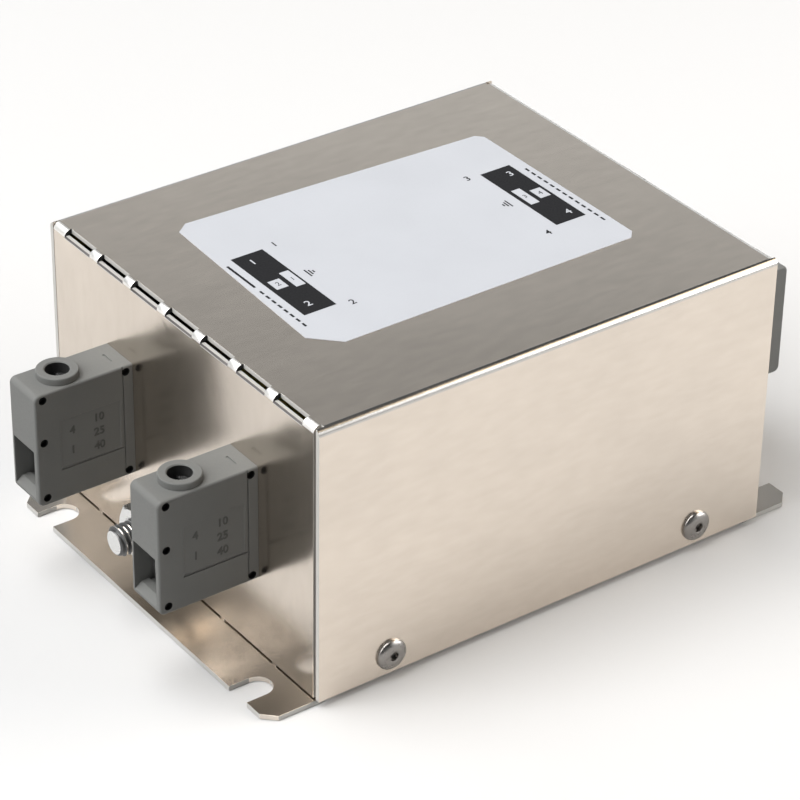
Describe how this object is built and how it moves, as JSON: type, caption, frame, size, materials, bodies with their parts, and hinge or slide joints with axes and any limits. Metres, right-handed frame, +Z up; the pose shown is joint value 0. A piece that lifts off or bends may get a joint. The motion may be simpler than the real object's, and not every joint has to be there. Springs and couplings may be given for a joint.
{
  "type": "line filter",
  "caption": "Mains interference filter in a folded steel case with mounting flanges, screw terminals and an earth stud at both ends.",
  "frame": {"origin": "middle of the footprint on the mounting surface", "axes": "+X across the width, +Y along the case from one terminal end to the other, +Z up from the mounting surface"},
  "size_m": [0.0894, 0.1426, 0.0581],
  "materials": {
    "cover_steel": "satin nickel-plated sheet",
    "base_steel": "satin nickel-plated sheet",
    "label_film": "printed white film",
    "rivet_steel": "plated",
    "terminal_plastic": "grey moulded plastic",
    "zinc_steel": "bright zinc plate",
    "bar_copper": "plain copper",
    "retainer_plastic": "black moulded plastic",
    "tinned_copper": "tinned",
    "wire_sleeve": "flexible sleeve",
    "line_sleeve": "flexible sleeve",
    "tray_plastic": "natural moulded plastic",
    "board_laminate": "laminate board",
    "core_coating": "coated ferrite",
    "enamelled_copper": "enamelled",
    "capacitor_case": "moulded case",
    "small_capacitor_case": "moulded case",
    "resistor_coating": "coated"
  },
  "bodies": {
    "root": {"base_plate": "base_steel", "cover": "cover_steel", "rating_label": "label_film", "side_rivets": "rivet_steel", "terminal_housing_front_left": "terminal_plastic", "terminal_housing_front_right": "terminal_plastic", "terminal_housing_rear_left": "terminal_plastic", "terminal_housing_rear_right": "terminal_plastic", "clamp_cage_front_left": "zinc_steel", "clamp_cage_front_right": "zinc_steel", "clamp_cage_rear_left": "zinc_steel", "clamp_cage_rear_right": "zinc_steel", "current_bar_front_left": "bar_copper", "current_bar_front_right": "bar_copper", "current_bar_rear_left": "bar_copper", "current_bar_rear_right": "bar_copper", "terminal_screws": "zinc_steel", "terminal_retainers": "retainer_plastic", "earth_screws": "zinc_steel", "earth_nuts": "zinc_steel", "toothed_washers": "zinc_steel", "plain_washers": "zinc_steel", "spring_washers": "zinc_steel", "earth_lugs": "tinned_copper", "earth_wires": "wire_sleeve", "insulating_tray": "tray_plastic", "circuit_board": "board_laminate", "choke_core": "core_coating", "choke_winding_right": "enamelled_copper", "choke_winding_left": "enamelled_copper", "choke_divider": "tray_plastic", "line_capacitor_front": "capacitor_case", "line_capacitor_rear": "capacitor_case", "earth_capacitors": "small_capacitor_case", "discharge_resistor": "resistor_coating", "line_leads": "line_sleeve"}
  },
  "joints": []
}
